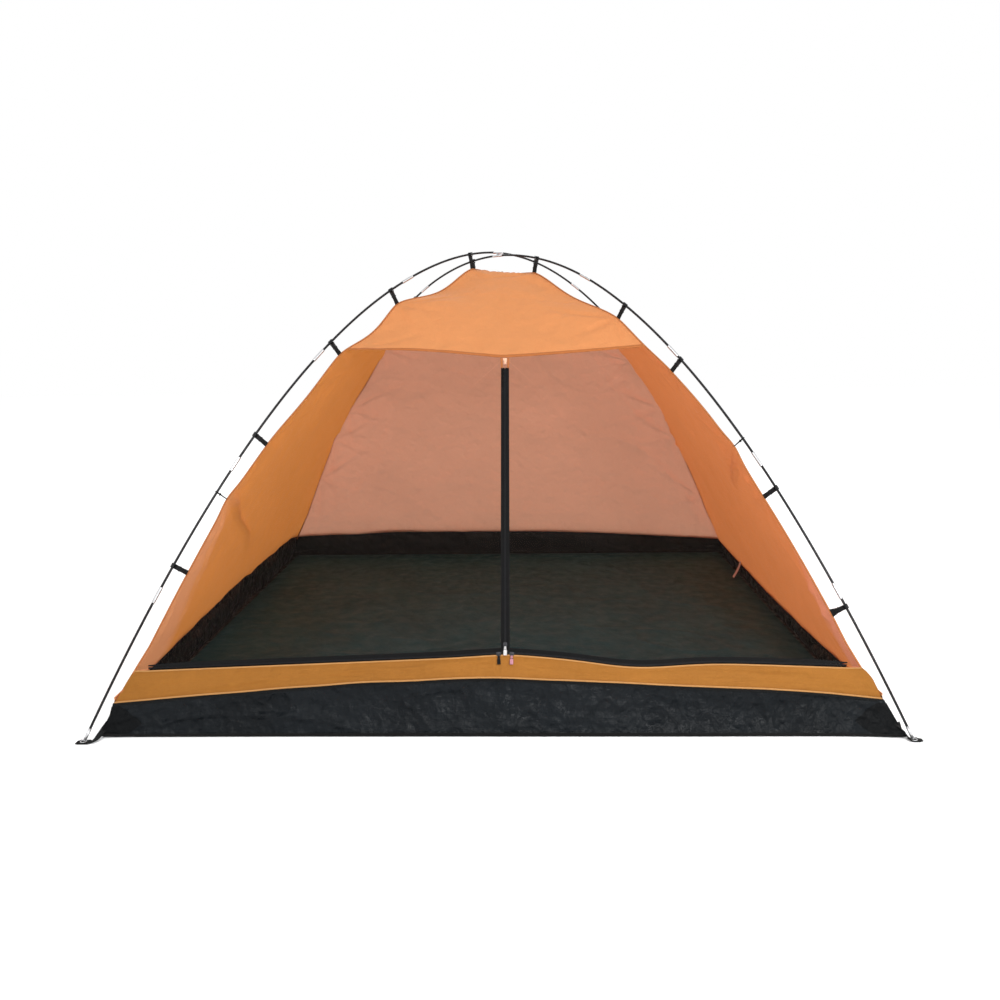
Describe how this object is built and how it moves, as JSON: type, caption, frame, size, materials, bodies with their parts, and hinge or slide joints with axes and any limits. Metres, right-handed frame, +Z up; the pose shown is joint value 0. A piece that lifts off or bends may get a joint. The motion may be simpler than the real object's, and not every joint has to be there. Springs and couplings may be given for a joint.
{
  "type": "dome tent inner",
  "caption": "Free-standing dome tent inner pitched without its fly: two crossing jointed poles, clipped-on orange fabric, dark bathtub floor, see-through mesh door with zips.",
  "frame": {"origin": "on the ground, at the middle of the square the tent covers", "axes": "+Z up, -Y out through the door, +X to the right of someone facing the door from outside"},
  "size_m": [2.1662, 2.1662, 1.307],
  "materials": {
    "pole": "satin",
    "clip": "matte",
    "orange_fabric": "matte",
    "door_mesh": "matte",
    "groundsheet": "satin",
    "zip": "satin",
    "pull": "matte",
    "strap": "matte"
  },
  "bodies": {
    "tent": {"back_wall": "orange_fabric", "front_cap": "orange_fabric", "front_sill": "orange_fabric", "groundsheet": "groundsheet", "left_mesh": "door_mesh", "left_wall": "orange_fabric", "pole_a_section_1": "pole", "pole_a_section_10": "pole", "pole_a_section_2": "pole", "pole_a_section_3": "pole", "pole_a_section_4": "pole", "pole_a_section_5": "pole", "pole_a_section_6": "pole", "pole_a_section_7": "pole", "pole_a_section_8": "pole", "pole_a_section_9": "pole", "pole_b_section_1": "pole", "pole_b_section_10": "pole", "pole_b_section_2": "pole", "pole_b_section_3": "pole", "pole_b_section_4": "pole", "pole_b_section_5": "pole", "pole_b_section_6": "pole", "pole_b_section_7": "pole", "pole_b_section_8": "pole", "pole_b_section_9": "pole", "right_mesh": "door_mesh", "right_wall": "orange_fabric", "strap_front_left": "strap", "strap_front_right": "strap", "strap_rear_left": "strap", "strap_rear_right": "strap"},
    "clip_front_left_1": {"clip_front_left_1": "clip"},
    "clip_front_left_2": {"clip_front_left_2": "clip"},
    "clip_front_left_3": {"clip_front_left_3": "clip"},
    "clip_front_left_4": {"clip_front_left_4": "clip"},
    "clip_front_left_5": {"clip_front_left_5": "clip"},
    "clip_front_right_1": {"clip_front_right_1": "clip"},
    "clip_front_right_2": {"clip_front_right_2": "clip"},
    "clip_front_right_3": {"clip_front_right_3": "clip"},
    "clip_front_right_4": {"clip_front_right_4": "clip"},
    "clip_front_right_5": {"clip_front_right_5": "clip"},
    "clip_rear_left_1": {"clip_rear_left_1": "clip"},
    "clip_rear_left_2": {"clip_rear_left_2": "clip"},
    "clip_rear_left_3": {"clip_rear_left_3": "clip"},
    "clip_rear_left_4": {"clip_rear_left_4": "clip"},
    "clip_rear_left_5": {"clip_rear_left_5": "clip"},
    "clip_rear_right_1": {"clip_rear_right_1": "clip"},
    "clip_rear_right_2": {"clip_rear_right_2": "clip"},
    "clip_rear_right_3": {"clip_rear_right_3": "clip"},
    "clip_rear_right_4": {"clip_rear_right_4": "clip"},
    "clip_rear_right_5": {"clip_rear_right_5": "clip"},
    "left_flap": {"left_flap": "door_mesh"},
    "right_flap": {"right_flap": "door_mesh"},
    "zip_slider": {"zip_slider": "zip"},
    "zip_pull": {"zip_pull": "pull"},
    "left_sill_slider": {"left_sill_slider": "zip"},
    "left_sill_pull": {"left_sill_pull": "pull"},
    "right_sill_slider": {"right_sill_slider": "zip"},
    "right_sill_pull": {"right_sill_pull": "pull"}
  },
  "joints": [
    {"name": "clip_front_left_1_turn", "type": "hinge", "parent": "tent", "child": "clip_front_left_1", "pos_m": [-0.08459, -0.08459, 1.24583], "axis": [-0.6966, -0.6966, -0.172], "range_deg": [0, 70]},
    {"name": "clip_front_left_2_turn", "type": "hinge", "parent": "tent", "child": "clip_front_left_2", "pos_m": [-0.31207, -0.31207, 1.12555], "axis": [-0.6185, -0.6185, -0.4847], "range_deg": [0, 70]},
    {"name": "clip_front_left_3_turn", "type": "hinge", "parent": "tent", "child": "clip_front_left_3", "pos_m": [-0.4697, -0.4697, 0.97326], "axis": [-0.5493, -0.5493, -0.6297], "range_deg": [0, 70]},
    {"name": "clip_front_left_4_turn", "type": "hinge", "parent": "tent", "child": "clip_front_left_4", "pos_m": [-0.65497, -0.65497, 0.72234], "axis": [-0.4748, -0.4748, -0.741], "range_deg": [0, 70]},
    {"name": "clip_front_left_5_turn", "type": "hinge", "parent": "tent", "child": "clip_front_left_5", "pos_m": [-0.84152, -0.84152, 0.39306], "axis": [-0.4126, -0.4126, -0.8121], "range_deg": [0, 70]},
    {"name": "clip_front_right_1_turn", "type": "hinge", "parent": "tent", "child": "clip_front_right_1", "pos_m": [0.1246, -0.1246, 1.22723], "axis": [-0.6907, 0.6907, 0.2139], "range_deg": [0, 70]},
    {"name": "clip_front_right_2_turn", "type": "hinge", "parent": "tent", "child": "clip_front_right_2", "pos_m": [0.37676, -0.37676, 1.06998], "axis": [-0.59, 0.59, 0.5511], "range_deg": [0, 70]},
    {"name": "clip_front_right_3_turn", "type": "hinge", "parent": "tent", "child": "clip_front_right_3", "pos_m": [0.52053, -0.52053, 0.91207], "axis": [-0.5277, 0.5277, 0.6656], "range_deg": [0, 70]},
    {"name": "clip_front_right_4_turn", "type": "hinge", "parent": "tent", "child": "clip_front_right_4", "pos_m": [0.74498, -0.74498, 0.57295], "axis": [-0.4432, 0.4432, 0.7792], "range_deg": [0, 70]},
    {"name": "clip_front_right_5_turn", "type": "hinge", "parent": "tent", "child": "clip_front_right_5", "pos_m": [0.89514, -0.89514, 0.28441], "axis": [-0.397, 0.397, 0.8275], "range_deg": [0, 70]},
    {"name": "clip_rear_left_1_turn", "type": "hinge", "parent": "tent", "child": "clip_rear_left_1", "pos_m": [-0.08529, 0.08529, 1.23755], "axis": [0.699, -0.699, 0.1506], "range_deg": [0, 70]},
    {"name": "clip_rear_left_2_turn", "type": "hinge", "parent": "tent", "child": "clip_rear_left_2", "pos_m": [-0.31207, 0.31207, 1.12555], "axis": [0.6185, -0.6185, 0.4847], "range_deg": [0, 70]},
    {"name": "clip_rear_left_3_turn", "type": "hinge", "parent": "tent", "child": "clip_rear_left_3", "pos_m": [-0.4697, 0.4697, 0.97326], "axis": [0.5493, -0.5493, 0.6297], "range_deg": [0, 70]},
    {"name": "clip_rear_left_4_turn", "type": "hinge", "parent": "tent", "child": "clip_rear_left_4", "pos_m": [-0.65497, 0.65497, 0.72234], "axis": [0.4748, -0.4748, 0.741], "range_deg": [0, 70]},
    {"name": "clip_rear_left_5_turn", "type": "hinge", "parent": "tent", "child": "clip_rear_left_5", "pos_m": [-0.84152, 0.84152, 0.39306], "axis": [0.4126, -0.4126, 0.8121], "range_deg": [0, 70]},
    {"name": "clip_rear_right_1_turn", "type": "hinge", "parent": "tent", "child": "clip_rear_right_1", "pos_m": [0.12371, 0.12371, 1.23412], "axis": [0.6863, 0.6863, -0.2409], "range_deg": [0, 70]},
    {"name": "clip_rear_right_2_turn", "type": "hinge", "parent": "tent", "child": "clip_rear_right_2", "pos_m": [0.37676, 0.37676, 1.06998], "axis": [0.59, 0.59, -0.5511], "range_deg": [0, 70]},
    {"name": "clip_rear_right_3_turn", "type": "hinge", "parent": "tent", "child": "clip_rear_right_3", "pos_m": [0.52053, 0.52053, 0.91207], "axis": [0.5277, 0.5277, -0.6656], "range_deg": [0, 70]},
    {"name": "clip_rear_right_4_turn", "type": "hinge", "parent": "tent", "child": "clip_rear_right_4", "pos_m": [0.74498, 0.74498, 0.57295], "axis": [0.4432, 0.4432, -0.7792], "range_deg": [0, 70]},
    {"name": "clip_rear_right_5_turn", "type": "hinge", "parent": "tent", "child": "clip_rear_right_5", "pos_m": [0.89514, 0.89514, 0.28441], "axis": [0.397, 0.397, -0.8275], "range_deg": [0, 70]},
    {"name": "left_flap_open", "type": "hinge", "parent": "tent", "child": "left_flap", "pos_m": [0.029, -0.47996, 0.95504], "axis": [-0.7179, -0.3562, -0.5981], "range_deg": [0, 140]},
    {"name": "right_flap_open", "type": "hinge", "parent": "tent", "child": "right_flap", "pos_m": [0.029, -0.47996, 0.95504], "axis": [-0.6957, 0.3675, 0.6172], "range_deg": [0, 140]},
    {"name": "zip_slide", "type": "slide", "parent": "tent", "child": "zip_slider", "axis": [0, 0.538, 0.843], "range_m": [0, 0.84]},
    {"name": "zip_pull_turn", "type": "hinge", "parent": "zip_slider", "child": "zip_pull", "pos_m": [0.029, -0.95395, 0.22235], "axis": [-1, 0, 0], "range_deg": [0, 110]},
    {"name": "left_sill_slide", "type": "slide", "parent": "tent", "child": "left_sill_slider", "axis": [-0.9991, 0.0095, -0.0408], "range_m": [0, 0.881]},
    {"name": "left_sill_pull_turn", "type": "hinge", "parent": "left_sill_slider", "child": "left_sill_pull", "pos_m": [0.01185, -0.9667, 0.20142], "axis": [-0.9991, 0.0095, -0.0408], "range_deg": [0, 110]},
    {"name": "right_sill_slide", "type": "slide", "parent": "tent", "child": "right_sill_slider", "axis": [0.999, 0.0101, -0.0435], "range_m": [0, 0.822]},
    {"name": "right_sill_pull_turn", "type": "hinge", "parent": "right_sill_slider", "child": "right_sill_pull", "pos_m": [0.04616, -0.96669, 0.20138], "axis": [-0.999, -0.0101, 0.0435], "range_deg": [0, 110]}
  ],
  "couplings": [
    {"joint": "left_sill_slide", "follows": "left_flap_open", "m_per_rad": 0.36014},
    {"joint": "right_sill_slide", "follows": "right_flap_open", "m_per_rad": 0.336}
  ]
}
